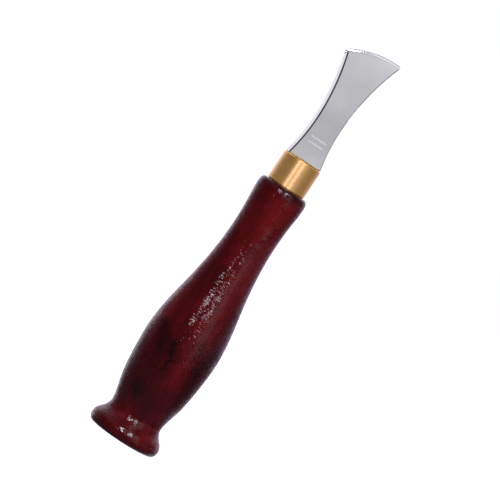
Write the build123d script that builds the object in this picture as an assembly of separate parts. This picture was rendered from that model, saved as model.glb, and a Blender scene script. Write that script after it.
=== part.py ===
from build123d import *
import os
from math import radians, sqrt, tan

# A fishtail edge creaser for leather: a polished steel head on a turned, lacquered hardwood handle.
#
# The tool stands upright in its own frame, in millimetres. The origin is the centre of the flat butt,
# +Z runs along the tool towards the working end, X lies across the width of the steel head and Y
# through its thickness. The guide lip and the size mark are on the -Y side.

# Turned handle, radii at heights above the butt
HANDLE_LENGTH = 100.4
BUTT_FLAT_RADIUS = 10.4
BEAD_RADIUS = 13.25
BEAD_HEIGHT = 2.5
COVE_RADIUS = 9.85
COVE_HEIGHT = 9.2
SWELL_RADIUS = 13.6
SWELL_HEIGHT = 37.5
NECK_RADIUS = 8.35
NECK_HEIGHT = 80.5
SHOULDER_RADIUS = 9.2
SHOULDER_HEIGHT = 97.2
MOUTH_RADIUS = 7.3
CENTRE_MARK_RADIUS = 1.2
CENTRE_MARK_DEPTH = 1.0

# Ferrule: a brass cup over the handle's tenon, with a slot for the tang in its closed end
FERRULE_RADIUS = 7.0
FERRULE_LENGTH = 10.7
FERRULE_WALL = 1.0
FERRULE_END = 1.5
FERRULE_CHAMFER = 0.35
GLUE_GAP = 0.05
TANG_CLEARANCE = 0.1

# Steel head: a flat plate with hollow long sides, each an arc below the waist and a wider one above
HEAD_THICKNESS = 3.5
WAIST_HALF_WIDTH = 4.95
WAIST_HEIGHT = 126.0
LOWER_ARC_RADIUS = 62.0
UPPER_ARC_RADIUS = 78.0
EDGE_ROUND = 0.45
SHOULDER_CORNER = 0.6

# Working end: a skewed arc, about an axis parallel to Y
TIP_CENTRE_X = 8.0
TIP_CENTRE_Z = 121.75
TIP_RADIUS = 33.5
LONG_CORNER = 0.6
SHORT_CORNER = 0.6

# Section of the working end: guide lip, groove and crease lip, across the thickness
CREASE_DISTANCE = 2.0
GUIDE_LIP = 1.15
CREASE_LIP = 0.7
GUIDE_ABOVE_CREASE = 0.8
GROOVE_DEPTH = 1.8
GUIDE_ROLL_LENGTH = 1.3
GUIDE_ROLL_DEPTH = 0.5
GUIDE_TURN_LENGTH = 0.33
GUIDE_TURN_DEPTH = 0.18
GUIDE_INNER_ROUND = 0.2

# Tang, glued in a drilled bore
TANG_WIDTH = 5.6
TANG_END_WIDTH = 3.6
TANG_THICKNESS = 2.8
TANG_LENGTH = 44.0
TANG_NOTCH = 0.5
TANG_NOTCH_PITCH = 8.0
TANG_NOTCHES = 3
BORE_RADIUS = 3.5
BORE_BELOW_TANG = 1.2
DRILL_HALF_ANGLE = 59.0

# Size mark: two etched bars as far apart as the tool's crease distance
MARK_HEIGHT = 119.0
MARK_BAR_LENGTH = 6.4
MARK_LINE = 0.7
MARK_DEPTH = 0.08

# Heights that follow from the dimensions above
FERRULE_TOP = HANDLE_LENGTH + FERRULE_LENGTH
TENON_RADIUS = FERRULE_RADIUS - FERRULE_WALL - GLUE_GAP
TENON_TOP = FERRULE_TOP - FERRULE_END - GLUE_GAP
TANG_BOTTOM = FERRULE_TOP - TANG_LENGTH
BORE_BOTTOM = TANG_BOTTOM - BORE_BELOW_TANG
FACE_Y = -HEAD_THICKNESS / 2


def half_width(height):
    """Half the head's width at a height, from the hollow side arcs."""
    rise = height - WAIST_HEIGHT
    radius = UPPER_ARC_RADIUS if rise > 0 else LOWER_ARC_RADIUS
    return WAIST_HALF_WIDTH + radius - sqrt(radius**2 - rise**2)


def tip_height(x):
    """Height of the working end's arc at x."""
    return TIP_CENTRE_Z + sqrt(TIP_RADIUS**2 - (x - TIP_CENTRE_X) ** 2)


def tip_corner(side):
    """Where a side arc meets the working end's arc; side is -1 or 1."""
    x = side * SWELL_RADIUS
    for _ in range(30):
        x = side * half_width(tip_height(x))
    return x, tip_height(x)


def curve(*points, start, end):
    """Smooth curve through points, leaving along start and arriving along end."""
    return Spline(*points, tangents=[start, end], tangent_scalars=[1, 1])


def face_within(*lines):
    """Flat face inside a closed outline that is given line by line."""
    return make_face([edge for line in lines for edge in line.edges()]).face()


def drilled_bore():
    """The round blind bore for the tang, with the drill's pointed end."""
    point_depth = BORE_RADIUS / tan(radians(DRILL_HALF_ANGLE))
    outline = Polyline(
        (0, 0, BORE_BOTTOM - point_depth),
        (BORE_RADIUS, 0, BORE_BOTTOM),
        (BORE_RADIUS, 0, TENON_TOP),
        (0, 0, TENON_TOP),
        close=True,
    )
    return revolve(face_within(outline), Axis.Z)


def make_handle():
    """Turned hardwood: butt bead, cove, swell, neck and shoulder, then the tenon for the ferrule."""
    cove = (COVE_RADIUS, 0, COVE_HEIGHT)
    shoulder = (SHOULDER_RADIUS, 0, SHOULDER_HEIGHT)
    mouth = (MOUTH_RADIUS, 0, HANDLE_LENGTH)
    butt = Line((CENTRE_MARK_RADIUS, 0, 0), (BUTT_FLAT_RADIUS, 0, 0))
    bead = curve(
        butt @ 1,
        (12.5, 0, 0.45),
        (BEAD_RADIUS, 0, BEAD_HEIGHT),
        (12.3, 0, 5.0),
        (11.1, 0, 6.35),
        (10.28, 0, 7.7),
        cove,
        start=(1, 0, 0),
        end=(0, 0, 1),
    )
    swell = curve(
        cove,
        (11.25, 0, 15.9),
        (12.98, 0, 26.6),
        (SWELL_RADIUS, 0, SWELL_HEIGHT),
        (12.58, 0, 48.1),
        (10.6, 0, 58.8),
        (9.02, 0, 69.6),
        (NECK_RADIUS, 0, NECK_HEIGHT),
        (8.76, 0, 91.0),
        shoulder,
        start=(0, 0, 1),
        end=(0, 0, 1),
    )
    rim = curve(
        shoulder,
        (8.86, 0, 99.3),
        (8.2, 0, 100.15),
        mouth,
        start=(0, 0, 1),
        end=(-1, 0, 0),
    )
    tenon_and_axis = Polyline(
        mouth,
        (TENON_RADIUS, 0, HANDLE_LENGTH),
        (TENON_RADIUS, 0, TENON_TOP),
        (0, 0, TENON_TOP),
        (0, 0, CENTRE_MARK_DEPTH),
        (CENTRE_MARK_RADIUS, 0, 0),
    )
    turned = revolve(face_within(butt, bead, swell, rim, tenon_and_axis), Axis.Z)
    return turned - drilled_bore()


def make_ferrule():
    """Brass cup with chamfered rims; its closed end carries the head's shoulders."""
    upwards = (Align.CENTER, Align.CENTER, Align.MIN)
    cup = Pos(Z=HANDLE_LENGTH) * Cylinder(FERRULE_RADIUS, FERRULE_LENGTH, align=upwards)
    cup = chamfer(cup.edges().filter_by(GeomType.CIRCLE), FERRULE_CHAMFER)
    hollow = Pos(Z=HANDLE_LENGTH) * Cylinder(
        FERRULE_RADIUS - FERRULE_WALL,
        FERRULE_LENGTH - FERRULE_END,
        align=upwards,
    )
    slot = Pos(Z=FERRULE_TOP) * Box(
        TANG_WIDTH + 2 * TANG_CLEARANCE,
        TANG_THICKNESS + 2 * TANG_CLEARANCE,
        4 * FERRULE_END,
    )
    return cup - hollow - slot


def head_outline():
    """Plan of the head in the XZ plane: straight base, two hollow sides and the skewed arc."""
    base = half_width(FERRULE_TOP)
    long_x, long_z = tip_corner(1)
    short_x, short_z = tip_corner(-1)
    crown_x = (long_x + short_x) / 2
    left_base = (-base, 0, FERRULE_TOP)
    right_base = (base, 0, FERRULE_TOP)
    left_waist = (-WAIST_HALF_WIDTH, 0, WAIST_HEIGHT)
    right_waist = (WAIST_HALF_WIDTH, 0, WAIST_HEIGHT)
    long_corner = (long_x, 0, long_z)
    short_corner = (short_x, 0, short_z)
    crown = (crown_x, 0, tip_height(crown_x))
    outline = face_within(
        Line(left_base, right_base),
        TangentArc(right_waist, right_base, tangent=(0, 0, -1)),
        TangentArc(right_waist, long_corner, tangent=(0, 0, 1)),
        ThreePointArc(long_corner, crown, short_corner),
        TangentArc(left_waist, short_corner, tangent=(0, 0, 1)),
        TangentArc(left_waist, left_base, tangent=(0, 0, -1)),
    )
    for corner, radius in (
        (left_base, SHOULDER_CORNER),
        (right_base, SHOULDER_CORNER),
        (long_corner, LONG_CORNER),
        (short_corner, SHORT_CORNER),
    ):
        outline = outline.fillet_2d(radius, outline.vertices().sort_by_distance(corner)[:1])
    return outline


def lip_cutter():
    """Ring about the arc's axis whose inner face is the section of guide lip, groove and crease lip."""
    guide_in = FACE_Y + GUIDE_LIP
    crease_in = guide_in + CREASE_DISTANCE - CREASE_LIP / 2
    back = -FACE_Y
    groove_floor = TIP_RADIUS - GROOVE_DEPTH + (crease_in - guide_in) / 2
    crease_shoulder = TIP_RADIUS - GUIDE_ABOVE_CREASE - (back - crease_in) / 2
    roll_start = TIP_RADIUS - GUIDE_ROLL_LENGTH
    round_start = TIP_RADIUS - GUIDE_INNER_ROUND
    outside = TIP_RADIUS + HEAD_THICKNESS
    beyond = HEAD_THICKNESS

    def at(y, radius):
        return (TIP_CENTRE_X, y, TIP_CENTRE_Z + radius)

    front = Polyline(at(-beyond, outside), at(-beyond, roll_start), at(FACE_Y, roll_start))
    roll = curve(
        front @ 1,
        at(FACE_Y + GUIDE_TURN_DEPTH, TIP_RADIUS - GUIDE_TURN_LENGTH),
        at(FACE_Y + GUIDE_ROLL_DEPTH, TIP_RADIUS),
        start=(0, 0, 1),
        end=(0, 1, 0),
    )
    crest = Line(roll @ 1, at(guide_in - GUIDE_INNER_ROUND, TIP_RADIUS))
    inner_round = TangentArc(crest @ 1, at(guide_in, round_start), tangent=(0, 1, 0))
    guide_wall = Line(inner_round @ 1, at(guide_in, groove_floor))
    groove = TangentArc(guide_wall @ 1, at(crease_in, groove_floor), tangent=(0, 0, -1))
    crease_wall = Line(groove @ 1, at(crease_in, crease_shoulder))
    crease = TangentArc(crease_wall @ 1, at(back, crease_shoulder), tangent=(0, 0, 1))
    rear = Polyline(crease @ 1, at(beyond, crease_shoulder), at(beyond, outside), at(-beyond, outside))
    section = face_within(front, roll, crest, inner_round, guide_wall, groove, crease_wall, crease, rear)
    return revolve(section, Axis(at(0, 0), (0, 1, 0)))


def make_tang():
    """Tapered flat tang, with notches in its edges that key it into the glue."""
    taper = (TANG_WIDTH - TANG_END_WIDTH) / 2 / TANG_LENGTH
    edge = [(TANG_WIDTH / 2, FERRULE_TOP + HEAD_THICKNESS), (TANG_WIDTH / 2, FERRULE_TOP)]
    for i in range(1, TANG_NOTCHES + 1):
        z = FERRULE_TOP - i * TANG_NOTCH_PITCH
        x = TANG_WIDTH / 2 - taper * i * TANG_NOTCH_PITCH
        edge += [(x, z), (x - TANG_NOTCH, z), (x, z - 2 * TANG_NOTCH)]
    edge.append((TANG_END_WIDTH / 2, TANG_BOTTOM))
    right = [(x, 0, z) for x, z in edge]
    left = [(-x, 0, z) for x, z in reversed(edge)]
    outline = Polyline(*right, *left, close=True)
    return extrude(face_within(outline), TANG_THICKNESS / 2, both=True)


def size_mark():
    """The two bars that are etched into the guide side of the head."""
    bar = SlotOverall(MARK_BAR_LENGTH, MARK_LINE)
    face = Plane(origin=(0, FACE_Y, MARK_HEIGHT), x_dir=(1, 0, 0), z_dir=(0, -1, 0))
    offsets = (CREASE_DISTANCE / 2, -CREASE_DISTANCE / 2)
    return [extrude(face * Pos(Y=offset) * bar, MARK_DEPTH, both=True) for offset in offsets]


def make_head():
    """Forged and polished head with its tang, in one piece of steel."""
    plate = extrude(head_outline(), HEAD_THICKNESS / 2, both=True)
    rims = plate.faces().filter_by(Axis.Y).edges()
    plate = fillet(rims, EDGE_ROUND)
    return plate - lip_cutter() - size_mark() + make_tang()


def main():
    """Makes every piece and writes it to its own file."""
    head = make_head()
    pieces = {
        "handle": make_handle(),
        "ferrule": make_ferrule(),
        "creaser_head": head,
        "tang_glue": drilled_bore() - head,
    }
    os.makedirs("parts", exist_ok=True)
    for name, piece in pieces.items():
        export_step(piece, f"parts/{name}.step")


main()
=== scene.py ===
from math import cos, pi, radians, sin, tan

import bmesh
import bpy
from mathutils import Matrix, Vector

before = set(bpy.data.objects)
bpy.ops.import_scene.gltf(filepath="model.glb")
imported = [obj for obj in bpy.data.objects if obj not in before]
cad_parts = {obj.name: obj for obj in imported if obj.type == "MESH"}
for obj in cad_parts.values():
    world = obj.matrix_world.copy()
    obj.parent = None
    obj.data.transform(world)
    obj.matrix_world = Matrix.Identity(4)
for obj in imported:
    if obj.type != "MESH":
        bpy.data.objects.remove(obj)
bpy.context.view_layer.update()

MM = 0.001

# Camera: a long lens aimed at the middle of the tool from a little above, and turned so that the tool leans
CAMERA_AZIMUTH = radians(-20.0)
CAMERA_ELEVATION = radians(2.6)
CAMERA_DISTANCE = 1.05
CAMERA_LEAN = radians(33.35)
CAMERA_CLIP = (0.05, 20.0)
AIM_HEIGHT = 76.5 * MM
AIM_RIGHT = 1.55 * MM
FRAME_WIDTH = 167.5 * MM
SENSOR = 36.0

# Soft lights: directions and sizes in degrees, right of the camera and above the horizon
LIGHTS = (
    # name, right, up, width, height, radiance, seen in reflections
    ("narrow_window", -12.5, 32.0, 7.0, 31.0, 14.0, True),
    ("wide_window", 16.5, 32.0, 11.0, 31.0, 9.0, True),
    ("narrow_window_core", -11.0, 38.0, 2.5, 8.0, 80.0, True),
    ("wide_window_core", 19.0, 38.0, 12.0, 5.0, 24.0, True),
    ("soft_front", 12.0, 28.0, 24.0, 24.0, 16.5, False),
    ("soft_right_back", 128.0, 30.0, 24.0, 24.0, 13.0, False),
    ("soft_left_back", -122.0, 30.0, 24.0, 24.0, 16.0, False),
)
LIGHT_COLOUR = (1.0, 0.91, 1.04)
LIGHT_DISTANCE = 1.5

# Room that the tool reflects: radiance round the horizon, as (degrees right of the camera, radiance), in
# bands from the ground to the top
ROOM_GROUND = ((-180, 0.15), (100, 0.15), (130, 0.4), (142, 0.8), (158, 0.8), (168, 0.15), (180, 0.15))
ROOM_BELOW = ((-180, 1.3), (-150, 1.25), (-137, 1.1), (-123, 0.42), (-103, 0.2), (-86, 0.06), (-60, 0.03),
              (60, 0.03), (100, 0.05), (123, 0.14), (150, 0.6), (180, 1.3))
ROOM_LEVEL = ((-180, 1.3), (-134, 1.3), (-122, 0.5), (-108, 0.4), (-94, 0.1), (-60, 0.04), (8, 0.04),
              (14, 0.3), (28, 0.45), (34, 0.84), (50, 0.84), (60, 0.45), (100, 0.35), (130, 0.6), (180, 1.3))
ROOM_MIDDLE = ((-180, 1.3), (-132, 1.1), (-119, 0.35), (-100, 0.12), (-80, 0.05), (-40, 0.02), (26, 0.04),
               (33, 0.75), (45, 0.75), (52, 0.2), (90, 0.05), (120, 0.18), (150, 0.8), (180, 1.3))
ROOM_HIGH = ((-180, 1.4), (-140, 1.1), (-110, 0.4), (-80, 0.25), (-45, 0.2), (-25, 0.06), (26, 0.08),
             (34, 1.1), (52, 1.1), (64, 0.1), (110, 0.1), (140, 0.6), (180, 1.4))
ROOM_TOP = ((-180, 0.6), (-120, 0.1), (4, 0.1), (14, 1.2), (32, 1.2), (42, 0.06), (140, 0.06), (180, 0.6))
# Where one band passes into the next, in degrees above the horizon
GROUND_TO_BELOW = (-22.0, -12.0)
BELOW_TO_LEVEL = (-3.0, -1.2)
LEVEL_TO_MIDDLE = (4.0, 8.0)
MIDDLE_TO_HIGH = (22.0, 32.0)
HIGH_TO_TOP = (52.0, 62.0)
# Some stretches of the walls are faintly violet, and the rest is nearly neutral
VIOLET_WALLS = ((-181, -152), (-120, -70), (62, 140), (152, 181))
VIOLET_TINT = (0.95, 0.78, 1.12)
ROOM_TINT = (0.98, 0.94, 1.045)
# Even light that the room gives matt surfaces, from above and from below, and where one passes into the
# other, as the height of a unit vector
FILL_ABOVE = 0.85
FILL_BELOW = 0.06
FILL_PASSES = (-0.25, 0.05)
BACKDROP = 1.0

FLOOR_RADIUS = 4.0
FLOOR_SEGMENTS = 96
FLOOR_PALE = 0.9
FLOOR_GLOW = 0.4

# Stain and painted shade of the handle from butt to shoulder, as (height in mm, level), where 0 is near black
# and 1 red; the dip over the lower swell is partly stain and partly painted shade of light that falls off
# downwards, and the drop at the shoulder is painted shade where the wood meets the ferrule
STAIN_AND_PAINTED_SHADE = ((0, 0.34), (6, 0.36), (12, 0.27), (25, 0.22), (36, 0.25), (46, 0.4), (60, 0.45), (90, 0.47),
         (96, 0.45), (99, 0.25), (100, 0.12))
STAIN_AND_SHADE_COLOURS = (
    (0.0, (0.006, 0.0012, 0.0018, 1.0)),
    (0.3, (0.026, 0.0015, 0.0020, 1.0)),
    (0.6, (0.062, 0.0030, 0.0034, 1.0)),
    (0.85, (0.105, 0.0052, 0.0046, 1.0)),
    (1.0, (0.155, 0.010, 0.007, 1.0)),
)
# Darker and redder flames in the figure: turn from -Y in degrees, height, half width, half length in mm,
# lean across for each mm up, change of level
FLAMES = (
    (-54, 38.5, 3.2, 4.0, -0.7, -0.22),
    (-27, 33.5, 0.5, 5.5, 0.0, -0.28),
    (34, 45.0, 4.0, 12.0, 0.0, -0.24),
    (34, 78.0, 3.0, 18.0, 0.0, -0.08),
    (-50, 54.0, 4.0, 12.0, 0.0, -0.16),
    (-36, 18.5, 2.6, 3.5, -0.3, -0.12),
    (-2, 90.0, 4.0, 6.0, 0.0, 0.1),
    (-55, 82.0, 3.5, 22.0, 0.0, -0.15),
    (0, 31.0, 2.4, 6.0, 0.1, 0.22),
    (-10, 40.0, 2.0, 5.0, 0.0, 0.1),
    (-40, 47.0, 2.6, 8.0, 0.1, 0.10),
    (22, 52.0, 2.6, 12.0, 0.1, 0.08),
    (150, 60.0, 2.6, 14.0, 0.1, -0.3),
    (200, 28.0, 3.0, 7.0, -0.2, 0.22),
    (95, 78.0, 2.0, 8.0, 0.1, -0.25),
    (110, 24.0, 2.4, 6.0, -0.3, -0.3),
    (62, 40.0, 2.4, 7.0, 0.2, 0.18),
    (255, 66.0, 2.2, 9.0, 0.1, 0.12),
)
# A flame is full in its core and ends at its edge, in half sizes, and it is kept off the far side of the
# handle by fading in over the first millimetres from the axis
FLAME_CORE = 0.35
FLAME_EDGE = 2.0
FLAME_FADE_IN = 4.0 * MM
# The figure is bent by slow noise of this scale per metre, by up to half this much along each axis
FIGURE_BEND_SCALE = 190.0
FIGURE_BEND = (0.006, 0.006, 0.010)
# Clouds, mottling and fibres: scale per metre along each axis, roughness, change of level
GRAIN = (
    ((120.0, 120.0, 70.0), 0.55, 0.5),
    ((450.0, 450.0, 260.0), 0.6, 0.3),
    ((1100.0, 1100.0, 50.0), 0.55, 0.25),
)
FINE_DETAIL = 3.0
PORE_SCALE = (1700.0, 1700.0, 240.0)
PORE_RANGE = (0.6, 0.72)
PORE_STRENGTH = 0.2
PORE_COLOUR = (0.008, 0.001, 0.001, 1.0)
# Unevenness of the lacquer film: turning rings, orange peel and slow sags, as (scale, tilt) along x, y and z
FILM_RIPPLES = (
    ((700.0, 700.0, 2400.0), (0.16, 0.16, 0.5)),
    ((1900.0, 1900.0, 1900.0), (0.4, 0.4, 0.45)),
    ((300.0, 300.0, 200.0), (0.12, 0.12, 0.12)),
)

# Brass: bright and tarnished colour, lathe lines round the ferrule, and the roughness that they vary; a RANGE
# is where in its noise a feature begins and is full
BRASS_BRIGHT = (0.70, 0.395, 0.065, 1.0)
BRASS_TARNISHED = (0.62, 0.34, 0.055, 1.0)
TARNISH_SCALE = 260.0
TARNISH_RANGE = (0.35, 0.75)
LATHE_LINE_SCALE = (40.0, 40.0, 5200.0)
LATHE_LINE_RANGE = (0.3, 0.7)
BRASS_ROUGHNESS = (0.42, 0.48)

# Steel: painted reflection tone of the head by height, as (height in mm, tone), lightest at the rounded tip as
# a painted highlight; its tint, haze and scratches
STEEL_PAINTED_REFLECTION_TONE = ((111.0, 0.64), (119.1, 0.56), (127.2, 0.54), (133.5, 0.61), (142.5, 0.59), (148.8, 0.65),
              (152.85, 0.7), (156.0, 0.85))
STEEL_TINT = (1.015, 1.048, 1.0, 1.0)
HAZE_SCALE = (150.0, 150.0, 110.0)
HAZE_RANGE = (0.3, 0.7)
HAZE_TONE = (0.97, 1.04)
HAZE_DEPTH = 0.02 * MM
SCRATCH_SCALE = (5200.0, 5200.0, 160.0)
SCRATCH_RANGE = (0.3, 0.8)
SCRATCH_DEPTH = 0.002 * MM
STEEL_RELIEF = 0.2
STEEL_ROUGHNESS = (0.07, 0.11)

# Size mark: two bars etched into the guide side of the head, which is the -Y side of MARK_FACE_Y; a bar
# ends softly between the two MARK_EDGE shares of its line width
MARK_HEIGHT = 119.0 * MM
MARK_SPACING = 2.0 * MM
MARK_BAR_LENGTH = 6.4 * MM
MARK_LINE = 0.7 * MM
MARK_EDGE = (0.56, 0.44)
MARK_FACE_Y = -1.62 * MM
MARK_COLOUR = (0.42, 0.42, 0.425, 1.0)
MARK_METALLIC = 0.4
MARK_ROUGHNESS = 0.5

# Glue: clear and bubbly colour
GLUE_CLEAR = (0.62, 0.5, 0.26, 1.0)
GLUE_BUBBLY = (0.75, 0.66, 0.4, 1.0)
BUBBLE_SCALE = 1800.0
BUBBLE_RANGE = (0.4, 0.7)
BUBBLE_DEPTH = 0.05 * MM


# ---------------------------------------------------------------- shader helpers

def node(tree, kind, inputs=None, **settings):
    """Adds a node, sets its settings, and links or sets each input."""
    made = tree.nodes.new(kind)
    for name, value in settings.items():
        setattr(made, name, value)
    for socket, value in (inputs or {}).items():
        put(tree, made.inputs[socket], value)
    return made


def put(tree, socket, value):
    """Links an output to an input socket, or sets the socket's value."""
    if isinstance(value, bpy.types.NodeSocket):
        tree.links.new(value, socket)
    else:
        socket.default_value = value


def calc(tree, operation, *values):
    return node(tree, "ShaderNodeMath", dict(enumerate(values)), operation=operation).outputs[0]


def squared(tree, value):
    return calc(tree, "MULTIPLY", value, value)


def length(tree, across, along):
    """Length of a flat vector."""
    return calc(tree, "SQRT", calc(tree, "ADD", squared(tree, across), squared(tree, along)))


def vector_calc(tree, operation, *values):
    made = node(tree, "ShaderNodeVectorMath", dict(enumerate(values)), operation=operation)
    return made.outputs["Value" if operation == "DOT_PRODUCT" else "Vector"]


def height_of(tree, vector):
    return node(tree, "ShaderNodeSeparateXYZ", {"Vector": vector}).outputs["Z"]


def smooth_step(tree, value, low, high, to_low=0.0, to_high=1.0):
    return node(
        tree,
        "ShaderNodeMapRange",
        {"Value": value, "From Min": low, "From Max": high, "To Min": to_low, "To Max": to_high},
        interpolation_type="SMOOTHSTEP",
    ).outputs["Result"]


def blend(tree, factor, first, second, kind="MIX"):
    """Mixes two colours."""
    made = tree.nodes.new("ShaderNodeMix")
    made.data_type = "RGBA"
    made.blend_type = kind
    put(tree, made.inputs[0], factor)
    put(tree, made.inputs[6], first)
    put(tree, made.inputs[7], second)
    return made.outputs[2]


def grey(value):
    return (value, value, value, 1.0)


def ramp(tree, value, stops):
    """Colour ramp with (position, colour) stops."""
    made = node(tree, "ShaderNodeValToRGB", {"Fac": value})
    elements = made.color_ramp.elements
    while len(elements) > 1:
        elements.remove(elements[0])
    elements[0].position, elements[0].color = stops[0]
    for position, colour in stops[1:]:
        elements.new(position).color = colour
    return made.outputs["Color"]


def height_ramp(tree, height, levels):
    """Grey by height, from (height in mm, level) pairs."""
    low = levels[0][0]
    span = levels[-1][0] - low
    share = calc(tree, "MULTIPLY_ADD", height, 1 / (span * MM), -low / span)
    return ramp(tree, share, [((mm - low) / span, grey(level)) for mm, level in levels])


def noise(tree, position, scale, detail=2.0, roughness=0.5):
    """Noise of a scale per metre, or of a scale for each axis."""
    if isinstance(scale, tuple):
        position = vector_calc(tree, "MULTIPLY", position, scale)
        scale = 1.0
    inputs = {"Vector": position, "Scale": scale, "Detail": detail, "Roughness": roughness}
    return node(tree, "ShaderNodeTexNoise", inputs).outputs["Fac"]


def noise_vector(tree, position, scale, detail):
    """Noise vector with parts from -0.5 to 0.5."""
    inputs = {"Vector": position, "Scale": scale, "Detail": detail}
    colour = node(tree, "ShaderNodeTexNoise", inputs).outputs["Color"]
    return vector_calc(tree, "SUBTRACT", colour, (0.5, 0.5, 0.5))


def rippled_normal(tree, position, ripples):
    """Surface normal tilted by noise; each ripple is a scale for each axis and a tilt along each axis."""
    normal = node(tree, "ShaderNodeNewGeometry").outputs["Normal"]
    for scale, tilt in ripples:
        wobble = noise_vector(tree, vector_calc(tree, "MULTIPLY", position, scale), 1.0, 1.0)
        normal = vector_calc(tree, "MULTIPLY_ADD", wobble, tilt, normal)
    return vector_calc(tree, "NORMALIZE", normal)


def bump(tree, height, distance, strength, normal=None):
    inputs = {"Height": height, "Distance": distance, "Strength": strength}
    if normal is not None:
        inputs["Normal"] = normal
    return node(tree, "ShaderNodeBump", inputs).outputs["Normal"]


def material(name):
    """New node material: its tree, its Principled shader and the object position."""
    made = bpy.data.materials.new(name)
    made.use_nodes = True
    tree = made.node_tree
    position = node(tree, "ShaderNodeTexCoord").outputs["Object"]
    return made, tree, tree.nodes["Principled BSDF"], position


def set_shader(tree, shader, inputs):
    for socket, value in inputs.items():
        put(tree, shader.inputs[socket], value)


# ---------------------------------------------------------------- camera and studio

def studio_direction(right, up):
    """Direction from the tool at an angle right of the camera and above the horizon, in radians."""
    azimuth = CAMERA_AZIMUTH + right
    return Vector((sin(azimuth) * cos(up), -cos(azimuth) * cos(up), sin(up)))


def add_camera():
    back = studio_direction(0, CAMERA_ELEVATION)
    right = Vector((cos(CAMERA_AZIMUTH), sin(CAMERA_AZIMUTH), 0.0))
    up = back.cross(right)
    camera_right = right * cos(CAMERA_LEAN) + up * sin(CAMERA_LEAN)
    camera_up = up * cos(CAMERA_LEAN) - right * sin(CAMERA_LEAN)
    data = bpy.data.cameras.new("camera")
    data.sensor_width = SENSOR
    data.lens = SENSOR * CAMERA_DISTANCE / FRAME_WIDTH
    data.clip_start, data.clip_end = CAMERA_CLIP
    camera = bpy.data.objects.new("camera", data)
    place = Matrix((camera_right, camera_up, back)).transposed().to_4x4()
    place.translation = Vector((0, 0, AIM_HEIGHT)) + right * AIM_RIGHT + back * CAMERA_DISTANCE
    camera.matrix_world = place
    bpy.context.scene.collection.objects.link(camera)
    bpy.context.scene.camera = camera


def side_of_light(degrees):
    """Length that spans an angle at the distance of the lights."""
    return 2 * LIGHT_DISTANCE * tan(radians(degrees) / 2)


def add_light(name, right, up, width, height, radiance, reflected):
    """Rectangular soft light of a given angular size, turned towards the tool."""
    data = bpy.data.lights.new(name, "AREA")
    data.shape = "RECTANGLE"
    data.color = LIGHT_COLOUR
    data.size = side_of_light(width)
    data.size_y = side_of_light(height)
    data.energy = radiance * pi * data.size * data.size_y
    light = bpy.data.objects.new(name, data)
    towards = studio_direction(radians(right), radians(up))
    light.location = Vector((0, 0, AIM_HEIGHT)) + towards * LIGHT_DISTANCE
    light.rotation_mode = "QUATERNION"
    light.rotation_quaternion = towards.to_track_quat("Z", "Y")
    light.visible_camera = False
    light.visible_glossy = reflected
    bpy.context.scene.collection.objects.link(light)


def room_colour(degrees, radiance):
    violet = any(start < degrees < end for start, end in VIOLET_WALLS)
    tint = VIOLET_TINT if violet else ROOM_TINT
    return tuple(radiance * part for part in tint) + (1.0,)


def room_ramp(tree, turn, stops):
    return ramp(tree, turn, [((degrees + 180) / 360, room_colour(degrees, value)) for degrees, value in stops])


def add_room():
    """World light: a room that is white behind the tool, mostly dark round the camera, with pale panels."""
    world = bpy.data.worlds.new("studio")
    world.use_nodes = True
    tree = world.node_tree
    tree.nodes.clear()
    ray = node(tree, "ShaderNodeTexCoord").outputs["Generated"]
    angle = calc(
        tree,
        "ARCTAN2",
        vector_calc(tree, "DOT_PRODUCT", ray, tuple(studio_direction(pi / 2, 0))),
        vector_calc(tree, "DOT_PRODUCT", ray, tuple(studio_direction(0, 0))),
    )
    turn = calc(tree, "MULTIPLY_ADD", angle, 1 / (2 * pi), 0.5)
    height = height_of(tree, ray)
    room = room_ramp(tree, turn, ROOM_GROUND)
    for (low, high), band in (
        (GROUND_TO_BELOW, ROOM_BELOW),
        (BELOW_TO_LEVEL, ROOM_LEVEL),
        (LEVEL_TO_MIDDLE, ROOM_MIDDLE),
        (MIDDLE_TO_HIGH, ROOM_HIGH),
        (HIGH_TO_TOP, ROOM_TOP),
    ):
        passed = smooth_step(tree, height, sin(radians(low)), sin(radians(high)))
        room = blend(tree, passed, room, room_ramp(tree, turn, band))
    fill = blend(tree, smooth_step(tree, height, *FILL_PASSES), grey(FILL_BELOW), grey(FILL_ABOVE))
    path = node(tree, "ShaderNodeLightPath")
    room = blend(tree, path.outputs["Is Diffuse Ray"], room, fill)
    colour = blend(tree, path.outputs["Is Camera Ray"], room, grey(BACKDROP))
    background = node(tree, "ShaderNodeBackground", {"Color": colour})
    output = tree.nodes.new("ShaderNodeOutputWorld")
    tree.links.new(background.outputs["Background"], output.inputs["Surface"])
    bpy.context.scene.world = world


def add_floor():
    """Plain pale floor that the butt stands on."""
    mesh = bpy.data.meshes.new("floor")
    form = bmesh.new()
    bmesh.ops.create_circle(form, cap_ends=True, segments=FLOOR_SEGMENTS, radius=FLOOR_RADIUS)
    form.to_mesh(mesh)
    form.free()
    floor = bpy.data.objects.new("floor", mesh)
    bpy.context.scene.collection.objects.link(floor)
    floor.visible_glossy = False
    floor.visible_diffuse = False
    pale, tree, shader, _ = material("pale_floor")
    set_shader(tree, shader, {
        "Base Color": grey(FLOOR_PALE),
        "Roughness": 0.9,
        "Emission Color": grey(1.0),
        "Emission Strength": FLOOR_GLOW,
    })
    mesh.materials.append(pale)


# ---------------------------------------------------------------- materials

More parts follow.
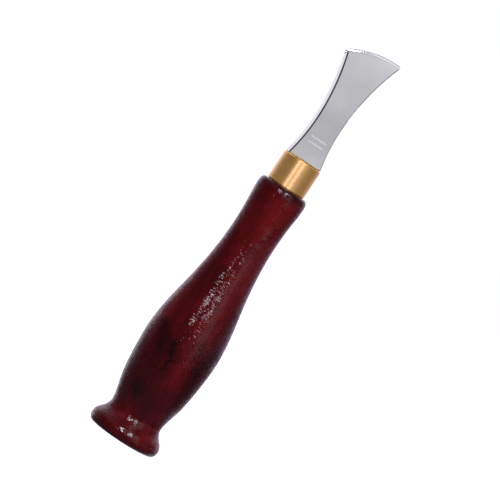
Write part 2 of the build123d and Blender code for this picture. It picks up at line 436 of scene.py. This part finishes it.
def flame(tree, position, height, turn, middle, half_width, half_length, lean):
    """Soft upright ellipse on one side of the handle, 1 in its middle."""
    sideways = (cos(radians(turn)), sin(radians(turn)), 0.0)
    outward = (sin(radians(turn)), -cos(radians(turn)), 0.0)
    above = calc(tree, "SUBTRACT", height, middle * MM)
    beside = vector_calc(tree, "DOT_PRODUCT", position, sideways)
    beside = calc(tree, "MULTIPLY_ADD", above, -lean, beside)
    across = calc(tree, "DIVIDE", beside, half_width * MM)
    along = calc(tree, "DIVIDE", above, half_length * MM)
    inside = smooth_step(tree, length(tree, across, along), FLAME_EDGE, FLAME_CORE)
    near_side = smooth_step(tree, vector_calc(tree, "DOT_PRODUCT", position, outward), 0.0, FLAME_FADE_IN)
    return calc(tree, "MULTIPLY", inside, near_side)


def stain_and_painted_shade_level(tree, position):
    """How red the wood looks, from near black at 0 to bright at 1: stain and figure, with painted shade by
    height over the lower swell and at the shoulder.
    """
    drift = noise_vector(tree, position, FIGURE_BEND_SCALE, 2.0)
    bent = vector_calc(tree, "MULTIPLY_ADD", drift, FIGURE_BEND, position)
    height = height_of(tree, bent)
    # Painted shade: this height ramp darkens the lower swell and the shoulder next to the ferrule, on top of
    # the wood's stain
    level = height_ramp(tree, height, STAIN_AND_PAINTED_SHADE)
    for *shape, change in FLAMES:
        level = calc(tree, "MULTIPLY_ADD", flame(tree, bent, height, *shape), change, level)
    for scale, roughness, change in GRAIN:
        grain = calc(tree, "SUBTRACT", noise(tree, position, scale, FINE_DETAIL, roughness), 0.5)
        level = calc(tree, "MULTIPLY_ADD", grain, change, level)
    return level


def lacquered_wood():
    made, tree, shader, position = material("lacquered_mahogany")
    colour = ramp(tree, stain_and_painted_shade_level(tree, position), STAIN_AND_SHADE_COLOURS)
    pores = smooth_step(tree, noise(tree, position, PORE_SCALE), *PORE_RANGE)
    colour = blend(tree, calc(tree, "MULTIPLY", pores, PORE_STRENGTH), colour, PORE_COLOUR)
    set_shader(tree, shader, {
        "Base Color": colour,
        "Roughness": 0.6,
        "Specular IOR Level": 0.0,
        "Coat Weight": 1.0,
        "Coat Roughness": 0.07,
        "Coat IOR": 1.38,
        "Coat Normal": rippled_normal(tree, position, FILM_RIPPLES),
    })
    return made


def turned_brass():
    made, tree, shader, position = material("turned_brass")
    lines = noise(tree, position, LATHE_LINE_SCALE, FINE_DETAIL, 0.6)
    tarnish = noise(tree, position, TARNISH_SCALE, FINE_DETAIL, 0.6)
    tarnished = smooth_step(tree, tarnish, *TARNISH_RANGE)
    set_shader(tree, shader, {
        "Base Color": blend(tree, tarnished, BRASS_BRIGHT, BRASS_TARNISHED),
        "Metallic": 0.68,
        "IOR": 3.0,
        "Specular IOR Level": 1.0,
        "Roughness": smooth_step(tree, lines, *LATHE_LINE_RANGE, *BRASS_ROUGHNESS),
        "Anisotropic": 0.85,
        "Anisotropic Rotation": 0.25,
        "Tangent": node(tree, "ShaderNodeTangent", direction_type="RADIAL", axis="Z").outputs["Tangent"],
    })
    return made


def etched_mark(tree, position):
    """1 on the two bars of the size mark, 0 elsewhere."""
    axes = node(tree, "ShaderNodeSeparateXYZ", {"Vector": position})
    across = calc(tree, "ABSOLUTE", axes.outputs["X"])
    up = calc(tree, "ABSOLUTE", calc(tree, "SUBTRACT", axes.outputs["Z"], MARK_HEIGHT))
    past_end = calc(tree, "MAXIMUM", calc(tree, "SUBTRACT", across, (MARK_BAR_LENGTH - MARK_LINE) / 2), 0.0)
    off_line = calc(tree, "SUBTRACT", up, MARK_SPACING / 2)
    outer, inner = MARK_EDGE
    inside = smooth_step(tree, length(tree, past_end, off_line), MARK_LINE * outer, MARK_LINE * inner)
    return calc(tree, "MULTIPLY", inside, calc(tree, "LESS_THAN", axes.outputs["Y"], MARK_FACE_Y))


def polished_steel():
    made, tree, shader, position = material("polished_steel")
    scratch = noise(tree, position, SCRATCH_SCALE, FINE_DETAIL, 0.65)
    cloud = noise(tree, position, HAZE_SCALE, FINE_DETAIL)
    clear, hazy = HAZE_TONE
    haze = blend(tree, smooth_step(tree, cloud, *HAZE_RANGE), grey(clear), grey(hazy))
    # Painted reflection: the base colour is lighter or darker by height, lightest at the tip, standing in for
    # what the face and tip reflect
    tone = height_ramp(tree, height_of(tree, position), STEEL_PAINTED_REFLECTION_TONE)
    colour = blend(tree, 1.0, blend(tree, 1.0, tone, haze, "MULTIPLY"), STEEL_TINT, "MULTIPLY")
    mark = etched_mark(tree, position)
    polish = smooth_step(tree, scratch, *SCRATCH_RANGE, *STEEL_ROUGHNESS)
    scratched = bump(tree, scratch, SCRATCH_DEPTH, STEEL_RELIEF)
    set_shader(tree, shader, {
        "Base Color": blend(tree, mark, colour, MARK_COLOUR),
        "Metallic": calc(tree, "MULTIPLY_ADD", mark, MARK_METALLIC - 1, 1.0),
        "Roughness": calc(tree, "MAXIMUM", polish, calc(tree, "MULTIPLY", mark, MARK_ROUGHNESS)),
        "Normal": bump(tree, cloud, HAZE_DEPTH, STEEL_RELIEF, scratched),
    })
    return made


def cured_glue():
    made, tree, shader, position = material("cured_glue")
    bubbles = noise(tree, position, BUBBLE_SCALE)
    set_shader(tree, shader, {
        "Base Color": blend(tree, smooth_step(tree, bubbles, *BUBBLE_RANGE), GLUE_CLEAR, GLUE_BUBBLY),
        "Roughness": 0.4,
        "Normal": bump(tree, bubbles, BUBBLE_DEPTH, 0.4),
    })
    return made


def dress(name, finish):
    """Gives a CAD node its material."""
    mesh = bpy.data.objects[name].data
    mesh.materials.clear()
    mesh.materials.append(finish)


add_camera()
add_room()
for light in LIGHTS:
    add_light(*light)
add_floor()
bpy.context.scene.view_settings.view_transform = "Standard"

dress("handle", lacquered_wood())
dress("ferrule", turned_brass())
dress("creaser_head", polished_steel())
dress("tang_glue", cured_glue())
